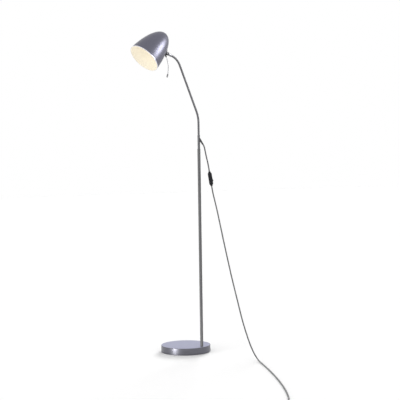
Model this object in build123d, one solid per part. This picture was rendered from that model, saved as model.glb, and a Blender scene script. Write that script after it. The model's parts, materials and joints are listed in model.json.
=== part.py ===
from build123d import *
import os
from math import cos, pi, radians, sin, tan

# Gooseneck reading floor lamp, in millimetres, +Z up.
# The origin is the centre of the base's underside, where it meets the floor.
# The neck bends in the plane Y = POLE_Y and carries the shade towards -X.

# Base
BASE_RADIUS = 100.0
BASE_HEIGHT = 28.0
COVER_WALL = 1.0
COVER_BEVEL = 1.4
COVER_LIFT = 1.2
PAD_RADIUS = 95.0
PAD_HEIGHT = 4.0
PAD_BEVEL = 0.6
WEIGHT_RADIUS = 98.4
WEIGHT_BEVEL = 3.0
BOLT_WELL_RADIUS = 9.2
BOLT_WELL_DEPTH = 9.0
BOLT_RADIUS = 3.9
BOLT_HOLE_RADIUS = 4.2
BOLT_HEAD_FLATS = 13.0
BOLT_HEAD_HEIGHT = 5.3
BOLT_REACH = 20.0
WASHER_RADIUS = 8.4
WASHER_HEIGHT = 1.6

# Pole
POLE_X = 18.8
POLE_Y = -86.0
POLE_RADIUS = 6.0
POLE_WALL = 1.0
POLE_JOINT_Z = 420.0
POLE_TOP_Z = 815.0
EDGE_BREAK = 0.4
INSERT_LENGTH = 24.0
JOINER_LENGTH = 56.0
JOINER_WALL = 1.2
SPIGOT_GAP = 0.05
REDUCER_HEIGHT = 4.0
REDUCER_TAPER = 2.0
REDUCER_SPIGOT = 14.0
NIPPLE_RADIUS = 3.4
NIPPLE_BORE = 2.0
NIPPLE_LENGTH = 30.0

# Outlet sleeve with the cord bush in its side
SLEEVE_RADIUS = 5.0
SLEEVE_BORE = 4.3
SLEEVE_TOP_Z = 872.0
OUTLET_Z = 862.0
OUTLET_AZIMUTH = -38.0
OUTLET_DIP = 58.0
BUSH_REACH = 31.1
BUSH_SHOULDER = 14.0
BUSH_ROOT_RADIUS = 4.4
BUSH_TIP_RADIUS = 3.3
BUSH_SPIGOT_RADIUS = 3.4
BUSH_GROOVE_STARTS = [16.0, 20.5, 25.0]
GROOVE_WIDTH = 1.3
GROOVE_FLOOR = 3.0

# Gooseneck: the corners of its centreline as (distance from the pole, height)
NECK_CORNERS = [(0.0, 872.0), (0.0, 945.0), (96.35, 1170.6)]
NECK_BENDS = [120.0, 66.0]
NECK_END_RISE = 20.0
NECK_LAST_RUN = 28.8
HOSE_RADIUS = 4.25
HOSE_BORE = 2.7
# Distances along the neck of the four places where it is taken to bend, and half the gap there
NECK_PIVOTS = [22.0, 72.7, 187.0, 315.0]
PIVOT_GAP = 2.0

# Ferrule, swivel fork and tilt screw at the end of the neck, measured back from the tilt axis
FERRULE_RADIUS = 5.4
FERRULE_START = 24.0
FERRULE_END = 7.6
FERRULE_SOCKET = 7.0
HOSE_SEAT = 4.4
SHANK_RADIUS = 3.4
SHANK_BORE = 2.0
FORK_RADIUS = 6.5
FORK_WIDTH = 12.0
FORK_ROUND = 7.2
TONGUE_WIDTH = 5.6
TONGUE_GAP = 0.3
SCREW_RADIUS = 1.9
SCREW_HEAD_RADIUS = 3.6
SCREW_HEAD_HEIGHT = 1.8
DRIVER_SLOT = 0.9
NUT_FLATS = 6.6
NUT_HEIGHT = 2.6
NUT_SHOWS = 0.6
RUNNING_GAP = 0.05

# Shade: its profile leaves the mouth straight up, for SIDE_PULL, and meets the crown level
SHADE_RADIUS = 63.4
SHADE_LENGTH = 139.3
SIDE_PULL = 20.0
CROWN_PULL = 49.0
SHADE_RISE = 44.7
SHADE_WALL = 1.0
RIM_OUT = 0.5
RIM_HEIGHT = 2.2
RIM_BEVEL = 0.5
# Share of the profile's curve at which the joint stands
JOINT_SHARE = 0.557
PIVOT_STANDOFF = 10.0

# Knuckle between the shade and the tilt axis
FLANGE_RADIUS = 11.0
FLANGE_HEIGHT = 3.0
FLANGE_SINK = 4.0
LUG_OUT = 3.0
LUG_DOWN = 12.6
LUG_RADIUS = 2.9
LUG_LENGTH = 9.0
LUG_ROOT = 1.5
ROD_SEAT = 7.0
RIB_SIZE = (9.0, 10.0)
RIB_PLACE = (-7.5, -8.5)
THREAD_RADIUS = 4.0
THREAD_BORE = 2.0
THREAD_DEPTH = 9.0
THREAD_SEAT = 3.5
THREAD_CLEARANCE = 0.1
SEAT_CLEARANCE = 0.9
RING_NUT_FLATS = 13.0
RING_NUT_HEIGHT = 2.5

# Aiming handle, as (distance from the pole, height) of its middle and end
HANDLE_RADIUS = 1.25
HANDLE_MIDDLE = (139.6, 1138.0)
HANDLE_END = (144.0, 1102.0)
TIP_RADIUS = 3.0
TIP_LENGTH = 13.0
TIP_FOOT_BEVEL = 1.2
TIP_TOP_BEVEL = 0.8

# Lamp holder and bulb, as distances from the mouth along the shade's axis
HOLDER_START = 86.0
HOLDER_END = 125.0
HOLDER_RADIUS = 13.5
HOLDER_STEP = 3.0
HOLDER_BORE = 8.2
HOLDER_FLOOR = 112.0
SHELL_RADIUS = 8.1
SHELL_BORE = 7.4
SHELL_INSET = 3.0
CONTACT_LENGTH = 9.0
CONTACT_WIDTH = 4.0
CONTACT_WALL = 0.8
BUTTON_RADIUS = 1.8
BUTTON_HEIGHT = 1.6
CAP_RADIUS = 6.9
CAP_START = 83.0
CAP_END = 108.0
CAP_TAPER = 4.0
CAP_BUTTON = 2.6
BULB_TIP = 32.0
BULB_RADIUS = 22.5
BULB_NECK_RADIUS = 9.5
BULB_NECK_START = 38.0
BRACKET_WIDTH = 12.0
BRACKET_WALL = 1.5
BRACKET_FOOT = (7.0, 10.0)
BRACKET_BEND = 22.0
BRACKET_END = -9.0
HOLDER_SCREW_RADIUS = 2.0
HOLDER_SCREW_HEAD = (3.6, 2.2)
HEAD_LEAD_RADIUS = 1.6
HEAD_LEAD_BEND = 5.0
HEAD_LEAD_RUN = 9.0
HEAD_LEAD_ENTRY = 106.0

# Switch on the cord: local Z runs up the cord, local X faces the rocker's side
SWITCH_TOP = (47.8, -114.7, 727.5)
SWITCH_BOTTOM = (53.3, -121.3, 670.2)
SWITCH_WIDTH = 23.0
SWITCH_THICKNESS = 15.5
SWITCH_END_ROUND = 10.0
SWITCH_EDGE_ROUND = 5.5
COLLAR_HEIGHT = 4.0
COLLAR_ROOT = 10.0
COLLAR_ROOT_RADIUS = 6.2
COLLAR_TIP_RADIUS = 4.2
ROCKER_FACING = (0.819, -0.574, 0.0)
ROCKER_SWING = 12.3
ROCKER_WIDTH = 12.4
ROCKER_AXIS_HEIGHT = 2.5
ROCKER_TILT = 7.0
ROCKER_GAP = 0.3
ROCKER_PIN_RADIUS = 1.0
ROCKER_PIN_LENGTH = 1.0
# The rocker's side: half lengths of its foot and face, heights of foot, shoulder, ends and valley
ROCKER_FOOT = 4.5
ROCKER_FACE = 13.0
ROCKER_HEIGHTS = [-1.5, 1.8, 6.9, 5.2]
CASE_SCREW_PLACES = [(8.0, -16.5), (-8.0, 16.5)]
CASE_SCREW_RADIUS = 1.5
CASE_SCREW_HEAD = 2.8
CASE_SCREW_HEIGHT = 1.6
CASE_SCREW_SINK = 2.6
CASE_SCREW_REACH = 4.0
CASE_SCREW_SLOT = 0.8

# Cord: a flat two-core lead, as wide as this, laid along hand-placed points
CORD_WIDTH = 5.4
CORD_REST_Z = 2.7
PLUG_REST_Z = 6.95
CORD_UPPER = [
    (31.8, -96.2, 835.6),
    (35.5, -99.1, 828.0),
    (37.2, -101.6, 812.5),
    (40.4, -105.6, 787.0),
    (45.1, -111.5, 755.2),
    (47.8, -114.7, 727.5),
]
CORD_LOWER = [
    (53.3, -121.3, 670.2),
    (56.0, -124.5, 642.5),
    (63.3, -135.5, 592.0),
    (71.5, -148.5, 521.0),
    (79.0, -163.3, 446.0),
    (86.2, -180.2, 370.0),
    (92.6, -197.8, 297.0),
    (98.5, -219.0, 225.0),
    (102.6, -242.5, 150.0),
    (104.8, -266.0, 97.0),
    (104.5, -292.0, 52.0),
    (100.5, -322.0, 22.0),
    (90.0, -360.0, 4.5),
    (73.0, -402.0, CORD_REST_Z),
    (41.4, -466.7, CORD_REST_Z),
    (5.5, -537.1, CORD_REST_Z),
    (-32.1, -607.7, CORD_REST_Z),
    (-69.9, -675.9, CORD_REST_Z),
    (-110.3, -745.0, CORD_REST_Z),
    (-151.4, -811.3, CORD_REST_Z),
    (-195.6, -878.0, CORD_REST_Z),
    (-239.6, -937.5, CORD_REST_Z),
    (-277.9, -969.6, CORD_REST_Z),
    (-317.8, -982.6, CORD_REST_Z),
    (-355.0, -979.0, CORD_REST_Z),
    (-382.0, -965.0, PLUG_REST_Z),
    (-402.0, -949.0, PLUG_REST_Z),
]

# Flat two-pin plug lying on the floor, as half widths at distances beyond the relief
PLUG_WIDTH = 35.3
PLUG_THICKNESS = 13.7
PLUG_LENGTH = 36.0
PLUG_OUTLINE = [(5.2, -2.0), (11.5, 9.0), (11.5, 20.0), (17.65, 29.0), (17.65, 36.0)]
PLUG_EDGE = 6.0
RELIEF_LENGTH = 24.0
RELIEF_TIP_RADIUS = 3.3
RELIEF_ROOT_RADIUS = 5.0
RELIEF_GROOVE_STARTS = [4.0, 10.0, 16.0]
PIN_RADIUS = 2.0
PIN_LENGTH = 19.0
PIN_SPACING = 18.6
PIN_BEVEL = 0.9


def neck_point(distance, height):
    """Place in the neck's plane, at a distance from the pole's axis and a height."""
    return Vector(POLE_X - distance, POLE_Y, height)


def cylinder(plane, radius, start, end):
    """Round bar along a plane's normal, from one height to another."""
    return extrude(plane.offset(start) * Circle(radius), end - start)


def tube(plane, outer, inner, start, end):
    """Round tube along a plane's normal."""
    return extrude(plane.offset(start) * (Circle(outer) - Circle(inner)), end - start)


def block(plane, sketch, start, end):
    """Flat outline drawn out along a plane's normal, from one height to another."""
    return extrude(plane.offset(start) * sketch, end - start)


def hexagon(flats):
    """Hexagon across its flats."""
    return RegularPolygon(flats / 2, 6, major_radius=False)


def turned(plane, profile):
    """Body turned about a plane's normal, from (radius, height) points."""
    outline = make_face(Polyline(*[(r, 0, z) for r, z in profile], close=True))
    return plane.location * revolve(outline, Axis.Z)


def bevel_outer_rims(body, radius, size):
    """Break the rims of a tube at its outer radius."""
    rims = body.edges().filter_by(GeomType.CIRCLE)
    return chamfer(rims.filter_by(lambda edge: abs(edge.radius - radius) < 0.01), size)


def sweep_round(path, radius):
    """Round bar swept along a path."""
    start = Plane(origin=path @ 0, z_dir=path % 0)
    return sweep(start * Circle(radius), path)


def largest_arc_radii(points):
    """The largest arc that each corner's two runs leave room for."""
    radii = []
    for before, corner, after in zip(points, points[1:], points[2:]):
        arriving = Vector(corner) - Vector(before)
        leaving = Vector(after) - Vector(corner)
        shorter = min(arriving.length, leaving.length)
        radii.append(0.45 * shorter / tan(radians(arriving.get_angle(leaving) / 2)))
    return radii


# ---------------------------------------------------------------- frames

FLOOR = Plane.XY
POLE = Plane(origin=(POLE_X, POLE_Y, 0))

END_DIRECTION = Vector(-cos(radians(NECK_END_RISE)), 0, sin(radians(NECK_END_RISE)))
LAST_CORNER = neck_point(*NECK_CORNERS[-1])
PIVOT = LAST_CORNER + END_DIRECTION * (NECK_LAST_RUN + FERRULE_START)
NECK_ENDS = [neck_point(*corner) for corner in NECK_CORNERS]
NECK_ENDS.append(PIVOT - END_DIRECTION * (FERRULE_START - FERRULE_SOCKET))
NECK = FilletPolyline(*NECK_ENDS, radius=NECK_BENDS)

# Local Z looks from the tilt axis back down the neck
TILT_BACK = Plane(origin=PIVOT, x_dir=(0, 1, 0), z_dir=-END_DIRECTION)
# Local Z is the tilt axis, local X looks back down the neck
ACROSS = Plane(origin=PIVOT, x_dir=-END_DIRECTION, z_dir=(0, 1, 0))


def shade_profile(inset):
    """The shade's outline from mouth to crown, a depth inside its outer face."""
    radius = SHADE_RADIUS - inset
    height = SHADE_LENGTH - inset
    pull = CROWN_PULL - inset / 2
    return Bezier((radius, 0, 0), (radius, 0, SIDE_PULL), (pull, 0, height), (0, 0, height))


JOINT_PLACE = shade_profile(0) @ JOINT_SHARE
JOINT_HEADING = shade_profile(0) % JOINT_SHARE
# Outward normal of the profile at the joint, as its parts square to the axis and along it
NORMAL_RADIAL = JOINT_HEADING.Z
NORMAL_AXIAL = -JOINT_HEADING.X

SHADE_UP = Vector(cos(radians(SHADE_RISE)), 0, sin(radians(SHADE_RISE)))
SHADE_BACK = Vector(sin(radians(SHADE_RISE)), 0, -cos(radians(SHADE_RISE)))
KNUCKLE_OUT = SHADE_BACK * NORMAL_RADIAL + SHADE_UP * NORMAL_AXIAL
KNUCKLE_DOWN = SHADE_BACK * NORMAL_AXIAL - SHADE_UP * NORMAL_RADIAL
JOINT_FOOT = PIVOT - KNUCKLE_OUT * PIVOT_STANDOFF
MOUTH = JOINT_FOOT - SHADE_BACK * JOINT_PLACE.X - SHADE_UP * JOINT_PLACE.Z

# Local Z is the shade's axis towards its crown, local X the side that the neck joins
SHADE = Plane(origin=MOUTH, x_dir=SHADE_BACK, z_dir=SHADE_UP)
# Local Z stands out of the shade at the joint, local X runs down towards the mouth
KNUCKLE = Plane(origin=JOINT_FOOT, x_dir=KNUCKLE_DOWN, z_dir=KNUCKLE_OUT)
# Local X stands out of the shade at the joint, local Z is the tilt axis
KNUCKLE_SIDE = Plane(origin=PIVOT, x_dir=KNUCKLE_OUT, z_dir=(0, 1, 0))

OUTLET_OUT = Vector(cos(radians(OUTLET_AZIMUTH)), sin(radians(OUTLET_AZIMUTH)), 0)
OUTLET_DIRECTION = OUTLET_OUT * cos(radians(OUTLET_DIP)) - Vector(0, 0, sin(radians(OUTLET_DIP)))
# Local Z runs out of the sleeve's side along the bush
OUTLET = Plane(
    origin=(POLE_X, POLE_Y, OUTLET_Z),
    x_dir=(-OUTLET_OUT.Y, OUTLET_OUT.X, 0),
    z_dir=OUTLET_DIRECTION,
)


# ---------------------------------------------------------------- base

def make_base_cover():
    """Steel cover with a bevelled edge, open underneath."""
    inner = BASE_RADIUS - COVER_WALL
    cover = turned(
        FLOOR,
        [
            (0, BASE_HEIGHT),
            (BASE_RADIUS - COVER_BEVEL, BASE_HEIGHT),
            (BASE_RADIUS, BASE_HEIGHT - COVER_BEVEL),
            (BASE_RADIUS, COVER_LIFT),
            (inner, COVER_LIFT),
            (inner, BASE_HEIGHT - COVER_BEVEL),
            (inner - 0.4 * COVER_WALL, BASE_HEIGHT - COVER_WALL),
            (0, BASE_HEIGHT - COVER_WALL),
        ],
    )
    return cover - cylinder(POLE, BOLT_HOLE_RADIUS, 0, BASE_HEIGHT + 1)


def make_base_weight():
    """Cast iron disc that keeps the lamp upright."""
    top = BASE_HEIGHT - COVER_WALL
    weight = turned(
        FLOOR,
        [
            (0, PAD_HEIGHT),
            (WEIGHT_RADIUS, PAD_HEIGHT),
            (WEIGHT_RADIUS, top - WEIGHT_BEVEL),
            (WEIGHT_RADIUS - WEIGHT_BEVEL, top),
            (0, top),
        ],
    )
    weight -= cylinder(POLE, BOLT_HOLE_RADIUS, 0, top + 1)
    return weight - cylinder(POLE, BOLT_WELL_RADIUS, 0, PAD_HEIGHT + BOLT_WELL_DEPTH)


def make_base_pad():
    """Foam pad that the lamp stands on."""
    pad = cylinder(FLOOR, PAD_RADIUS, 0, PAD_HEIGHT)
    return chamfer(pad.edges().sort_by(Axis.Z)[0], PAD_BEVEL)


def make_base_washer():
    """Wide washer in the weight's well."""
    top = PAD_HEIGHT + BOLT_WELL_DEPTH
    return tube(POLE, WASHER_RADIUS, BOLT_HOLE_RADIUS, top - WASHER_HEIGHT, top)


def make_base_bolt():
    """Hexagon bolt that pulls the pole down on to the base."""
    seat = PAD_HEIGHT + BOLT_WELL_DEPTH - WASHER_HEIGHT
    head = block(POLE, hexagon(BOLT_HEAD_FLATS), seat - BOLT_HEAD_HEIGHT, seat)
    return head + cylinder(POLE, BOLT_RADIUS, seat, BASE_HEIGHT + BOLT_REACH)


# ---------------------------------------------------------------- pole

def make_pole_insert():
    """Threaded plug pressed into the foot of the pole."""
    top = BASE_HEIGHT + INSERT_LENGTH
    return tube(POLE, POLE_RADIUS - POLE_WALL, BOLT_RADIUS, BASE_HEIGHT, top)


def make_pole_section(bottom, top):
    """One length of the pole, with both rims broken where it meets its neighbour."""
    section = tube(POLE, POLE_RADIUS, POLE_RADIUS - POLE_WALL, bottom, top)
    return bevel_outer_rims(section, POLE_RADIUS, EDGE_BREAK)


def make_pole_joiner():
    """Hollow spigot inside the pole that joins its two lengths."""
    outer = POLE_RADIUS - POLE_WALL - SPIGOT_GAP
    half = JOINER_LENGTH / 2
    return tube(POLE, outer, outer - JOINER_WALL, POLE_JOINT_Z - half, POLE_JOINT_Z + half)


def make_top_reducer():
    """Turned collar that closes the pole and steps down to the outlet sleeve."""
    spigot = POLE_RADIUS - POLE_WALL - SPIGOT_GAP
    top = POLE_TOP_Z + REDUCER_HEIGHT
    return turned(
        POLE,
        [
            (NIPPLE_RADIUS, POLE_TOP_Z - REDUCER_SPIGOT),
            (spigot, POLE_TOP_Z - REDUCER_SPIGOT),
            (spigot, POLE_TOP_Z),
            (POLE_RADIUS, POLE_TOP_Z),
            (POLE_RADIUS, top - REDUCER_TAPER),
            (SLEEVE_RADIUS, top),
            (NIPPLE_RADIUS, top),
        ],
    )


def make_neck_nipple():
    """Threaded nipple that screws the outlet sleeve on to the reducer."""
    middle = POLE_TOP_Z + REDUCER_HEIGHT
    half = NIPPLE_LENGTH / 2
    return tube(POLE, NIPPLE_RADIUS, NIPPLE_BORE, middle - half, middle + half)


def make_outlet_sleeve():
    """Tube that holds the hose's lower end and lets the cord out through its side."""
    bottom = POLE_TOP_Z + REDUCER_HEIGHT
    nipple_top = bottom + NIPPLE_LENGTH / 2
    sleeve = tube(POLE, SLEEVE_RADIUS, SLEEVE_BORE, nipple_top, SLEEVE_TOP_Z)
    sleeve += tube(POLE, SLEEVE_RADIUS, NIPPLE_RADIUS, bottom, nipple_top)
    return sleeve - cylinder(OUTLET, BUSH_SPIGOT_RADIUS, 0, BUSH_REACH)


def make_outlet_bush():
    """Tapered strain relief, grooved so that it bends, its spigot through the sleeve's wall."""
    bush = turned(
        OUTLET,
        [
            (0, 0),
            (BUSH_ROOT_RADIUS, 0),
            (BUSH_ROOT_RADIUS, BUSH_SHOULDER),
            (BUSH_TIP_RADIUS, BUSH_REACH),
            (0, BUSH_REACH),
        ],
    )
    low, high = OUTLET_Z - 2 * BUSH_REACH, OUTLET_Z + 2 * BUSH_REACH
    bush -= cylinder(POLE, SLEEVE_RADIUS, low, high)
    spigot = cylinder(OUTLET, BUSH_SPIGOT_RADIUS, 0, BUSH_SHOULDER)
    bush += spigot - cylinder(POLE, SLEEVE_BORE, low, high)
    for start in BUSH_GROOVE_STARTS:
        bush -= tube(OUTLET, BUSH_ROOT_RADIUS + 1, GROOVE_FLOOR, start, start + GROOVE_WIDTH)
    return bush.solids().sort_by(SortBy.VOLUME)[-1]


# ---------------------------------------------------------------- gooseneck

HOSE_STARTS = [0.0] + [pivot + PIVOT_GAP for pivot in NECK_PIVOTS]
HOSE_ENDS = [pivot - PIVOT_GAP for pivot in NECK_PIVOTS] + [NECK.length]


def make_hose(start, end):
    """Length of the gooseneck with its bore, cut square at both ends."""
    path = NECK.trim(start / NECK.length, end / NECK.length)
    section = Circle(HOSE_RADIUS) - Circle(HOSE_BORE)
    return sweep(Plane(origin=path @ 0, z_dir=path % 0) * section, path)


def make_ferrule():
    """Bright ferrule on the hose's end, bored for the fork's shank."""
    shoulder = FERRULE_START - FERRULE_SOCKET
    ferrule = tube(TILT_BACK, FERRULE_RADIUS, SHANK_RADIUS + RUNNING_GAP, FERRULE_END, shoulder)
    ferrule += tube(TILT_BACK, FERRULE_RADIUS, HOSE_SEAT, shoulder, FERRULE_START)
    return bevel_outer_rims(ferrule, FERRULE_RADIUS, EDGE_BREAK)


# ---------------------------------------------------------------- tilt joint

def make_swivel_fork():
    """Two-eared fork whose hollow shank turns in the ferrule."""
    half = FORK_WIDTH / 2
    ears = cylinder(ACROSS, FORK_RADIUS, -half, half)
    web = Pos(FERRULE_END / 2, 0) * Rectangle(FERRULE_END, 2 * FERRULE_RADIUS)
    ears += block(ACROSS, web, -half, half)
    ears &= cylinder(TILT_BACK, FORK_ROUND, -FORK_ROUND, FERRULE_END - RUNNING_GAP)
    slot_half = TONGUE_WIDTH / 2 + TONGUE_GAP
    slot = cylinder(ACROSS, FORK_RADIUS + TONGUE_GAP, -slot_half, slot_half)
    opening = Pos(-FORK_ROUND, 0) * Rectangle(2 * FORK_ROUND, 4 * FORK_RADIUS)
    slot += block(ACROSS, opening, -slot_half, slot_half)
    fork = ears - slot
    shank_end = FERRULE_START - FERRULE_SOCKET - 1
    fork += tube(TILT_BACK, SHANK_RADIUS, SHANK_BORE, FERRULE_END - EDGE_BREAK, shank_end)
    return fork - cylinder(ACROSS, SCREW_RADIUS, -half - 1, half + 1)


def make_tilt_screw():
    """Cheese-head screw that is the tilt joint's pin, with a driver slot."""
    seat = -FORK_WIDTH / 2
    top = seat - SCREW_HEAD_HEIGHT
    screw = cylinder(ACROSS, SCREW_HEAD_RADIUS, top, seat)
    slot = Rectangle(2 * SCREW_HEAD_RADIUS + 1, DRIVER_SLOT)
    screw -= block(ACROSS, slot, top, top + DRIVER_SLOT)
    return screw + cylinder(ACROSS, SCREW_RADIUS, seat, NUT_HEIGHT + NUT_SHOWS - seat)


def make_tilt_nut():
    """Nut on the tilt screw."""
    seat = FORK_WIDTH / 2
    return block(ACROSS, hexagon(NUT_FLATS) - Circle(SCREW_RADIUS), seat, seat + NUT_HEIGHT)


# ---------------------------------------------------------------- shade

def bell(inset):
    """Solid bell under the profile at a depth inside the shade's outer face."""
    profile = shade_profile(inset)
    outline = make_face([profile, Polyline(profile @ 1, (0, 0, 0), profile @ 0)])
    return SHADE.location * revolve(outline, Axis.Z)


def make_shade():
    """Spun bell with an even wall, a folded rim and a hole for the threaded stem."""
    middle = SHADE_RADIUS - SHADE_WALL / 2
    outside = SHADE_RADIUS + RIM_OUT
    rim = [
        (middle, 0),
        (outside - RIM_BEVEL, 0),
        (outside, RIM_BEVEL),
        (outside, RIM_HEIGHT - RIM_BEVEL),
        (middle, RIM_HEIGHT),
    ]
    shade = bell(0) - bell(SHADE_WALL) + turned(SHADE, rim)
    return shade - cylinder(KNUCKLE, THREAD_RADIUS + THREAD_CLEARANCE, -THREAD_DEPTH, FLANGE_HEIGHT)


def make_shade_knuckle():
    """Dark knuckle: a flange seated on the shade, a tongue and a lug for the handle."""
    half = TONGUE_WIDTH / 2
    body = cylinder(KNUCKLE, FLANGE_RADIUS, -FLANGE_SINK, FLANGE_HEIGHT)
    body += cylinder(KNUCKLE_SIDE, FORK_RADIUS, -half, half)
    stem = Pos(-PIVOT_STANDOFF / 2, 0) * Rectangle(PIVOT_STANDOFF, 2 * FORK_RADIUS)
    body += block(KNUCKLE_SIDE, stem, -half, half)
    body += block(KNUCKLE_SIDE, Pos(*RIB_PLACE) * Rectangle(*RIB_SIZE), -half, half)
    body += cylinder(LUG, LUG_RADIUS, -LUG_ROOT, LUG_LENGTH)
    body -= bell(0)
    body -= cylinder(KNUCKLE_SIDE, SCREW_RADIUS + RUNNING_GAP, -half - 1, half + 1)
    body -= cylinder(KNUCKLE, THREAD_RADIUS, -THREAD_DEPTH, THREAD_SEAT)
    body -= cylinder(LUG, HANDLE_RADIUS, -LUG_ROOT, ROD_SEAT)
    return body.solids().sort_by(SortBy.VOLUME)[-1]


def make_thread_stem():
    """Hollow threaded stem through the shade's wall."""
    return tube(KNUCKLE, THREAD_RADIUS, THREAD_BORE, -THREAD_DEPTH, THREAD_SEAT)


def make_ring_nut():
    """Nut that clamps the shade and the bracket on the stem."""
    seat = -SHADE_WALL - BRACKET_WALL - SEAT_CLEARANCE
    outline = hexagon(RING_NUT_FLATS) - Circle(THREAD_RADIUS)
    return block(KNUCKLE, outline, seat - RING_NUT_HEIGHT, seat)


# ---------------------------------------------------------------- handle

HANDLE_START = PIVOT + KNUCKLE_OUT * LUG_OUT + KNUCKLE_DOWN * LUG_DOWN
HANDLE_ARC = ThreePointArc(HANDLE_START, neck_point(*HANDLE_MIDDLE), neck_point(*HANDLE_END))
# Local Z runs from the handle's upper end into the knuckle
LUG = Plane(origin=HANDLE_START, x_dir=(0, 1, 0), z_dir=-(HANDLE_ARC % 0))


def make_handle_rod():
    """Bowed wire handle, its upper end let into the knuckle's lug."""
    return sweep_round(HANDLE_ARC, HANDLE_RADIUS) + cylinder(LUG, HANDLE_RADIUS, 0, ROD_SEAT)


def make_handle_tip():
    """Soft cap on the handle's end, tapered at its foot."""
    tip = Plane(origin=HANDLE_ARC @ 1, x_dir=(0, 1, 0), z_dir=HANDLE_ARC % 1)
    half = TIP_LENGTH / 2
    cap = turned(
        tip,
        [
            (0, -half),
            (TIP_RADIUS - TIP_TOP_BEVEL, -half),
            (TIP_RADIUS, TIP_TOP_BEVEL - half),
            (TIP_RADIUS, half - TIP_FOOT_BEVEL),
            (TIP_RADIUS - TIP_FOOT_BEVEL, half),
            (0, half),
        ],
    )
    return cap - sweep_round(HANDLE_ARC, HANDLE_RADIUS)


# ---------------------------------------------------------------- lamp holder and bulb

def make_lamp_holder():
    """Moulded lamp holder, open to the mouth, stepped in at its back."""
    return turned(
        SHADE,
        [
            (HOLDER_BORE, HOLDER_START),
            (HOLDER_RADIUS, HOLDER_START),
            (HOLDER_RADIUS, HOLDER_END - 2 * HOLDER_STEP),
            (HOLDER_RADIUS - HOLDER_STEP, HOLDER_END - HOLDER_STEP),
            (HOLDER_RADIUS - HOLDER_STEP, HOLDER_END),
            (0, HOLDER_END),
            (0, HOLDER_FLOOR),
            (HOLDER_BORE, HOLDER_FLOOR),
        ],
    )


def make_holder_shell():
    """Brass screw shell lining the holder."""
    start = HOLDER_START + SHELL_INSET
    return tube(SHADE, SHELL_RADIUS, SHELL_BORE, start, HOLDER_FLOOR - SHELL_INSET)


def make_holder_contact():
    """Sprung centre contact at the holder's floor."""
    low = HOLDER_FLOOR - CONTACT_WALL
    contact = block(SHADE, Rectangle(CONTACT_LENGTH, CONTACT_WIDTH), low, HOLDER_FLOOR)
    return contact + cylinder(SHADE, BUTTON_RADIUS, low - BUTTON_HEIGHT, low)


def make_bulb_cap():
    """Screw cap of the bulb, with its centre contact."""
    return turned(
        SHADE,
        [
            (0, CAP_START),
            (CAP_RADIUS, CAP_START),
            (CAP_RADIUS, CAP_END - CAP_TAPER),
            (CAP_BUTTON, CAP_END - 1),
            (CAP_BUTTON, CAP_END),
            (0, CAP_END),
        ],
    )


def make_bulb_glass():
    """Opal ball bulb, necked in to its cap."""
    centre = BULB_TIP + BULB_RADIUS

    def on_ball(degrees):
        """Place on the ball's profile, at an angle above its middle."""
        angle = radians(degrees)
        return (BULB_RADIUS * cos(angle), 0, centre + BULB_RADIUS * sin(angle))

    ball = ThreePointArc((0, 0, BULB_TIP), on_ball(0), on_ball(BULB_NECK_START))
    neck = [(BULB_NECK_RADIUS, 0, CAP_START), (0, 0, CAP_START), (0, 0, BULB_TIP)]
    outline = make_face([ball, Polyline(ball @ 1, *neck)])
    return SHADE.location * revolve(outline, Axis.Z)


def wall_point(depth, along):
    """Place in the shade's XZ plane: a depth inside the joint's foot, and along its wall."""
    x = JOINT_PLACE.X - depth * NORMAL_RADIAL - along * NORMAL_AXIAL
    z = JOINT_PLACE.Z - depth * NORMAL_AXIAL + along * NORMAL_RADIAL
    return x, z


def make_holder_bracket():
    """Bent steel bracket from the threaded stem to the back of the lamp holder."""
    depth = SHADE_WALL + SEAT_CLEARANCE + BRACKET_WALL / 2
    back = HOLDER_END + BRACKET_WALL / 2
    foot = [wall_point(depth, -BRACKET_FOOT[0]), wall_point(depth, BRACKET_FOOT[1])]
    centre = Polyline(*foot, (BRACKET_BEND, back), (BRACKET_END, back))
    side = Plane(origin=SHADE.origin, x_dir=SHADE.x_dir, z_dir=-SHADE.y_dir)
    half = BRACKET_WIDTH / 2
    bracket = block(side, trace(centre, BRACKET_WALL), -half, half)
    bracket -= cylinder(KNUCKLE, THREAD_RADIUS + THREAD_CLEARANCE, -THREAD_DEPTH, 0)
    hole = HOLDER_SCREW_RADIUS + THREAD_CLEARANCE
    return bracket - cylinder(SHADE, hole, HOLDER_END - 1, HOLDER_END + BRACKET_WALL + 1)


def make_holder_screw():
    """Screw that fixes the lamp holder to its bracket."""
    seat = HOLDER_END + BRACKET_WALL
    radius, height = HOLDER_SCREW_HEAD
    head = cylinder(SHADE, radius, seat, seat + height)
    return head + cylinder(SHADE, HOLDER_SCREW_RADIUS, HOLDER_END, seat)


def make_head_lead():
    """Lead from the threaded stem to the side of the lamp holder."""
    places = [
        wall_point(THREAD_DEPTH, 0),
        wall_point(THREAD_DEPTH + HEAD_LEAD_RUN, 0),
        (HOLDER_RADIUS, HEAD_LEAD_ENTRY),
    ]
    points = [SHADE.origin + SHADE_BACK * x + SHADE_UP * z for x, z in places]
    lead = sweep_round(FilletPolyline(*points, radius=HEAD_LEAD_BEND), HEAD_LEAD_RADIUS)
    return lead - cylinder(SHADE, HOLDER_RADIUS, HOLDER_START, HOLDER_END)


# ---------------------------------------------------------------- switch

SWITCH_AXIS = (Vector(SWITCH_TOP) - Vector(SWITCH_BOTTOM)).normalized()
SWITCH_MIDDLE = (Vector(SWITCH_TOP) + Vector(SWITCH_BOTTOM)) * 0.5
SWITCH_LENGTH = (Vector(SWITCH_TOP) - Vector(SWITCH_BOTTOM)).length
ROCKER_SIDE = Vector(ROCKER_FACING) - SWITCH_AXIS * Vector(ROCKER_FACING).dot(SWITCH_AXIS)
SWITCH = Plane(origin=SWITCH_MIDDLE, x_dir=ROCKER_SIDE.normalized(), z_dir=SWITCH_AXIS)
CASE_SCREW_LINES = [Plane(origin=(0, y, z), z_dir=(1, 0, 0)) for y, z in CASE_SCREW_PLACES]
CASE_SCREW_SEAT = CASE_SCREW_SINK - SWITCH_THICKNESS / 2


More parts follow.
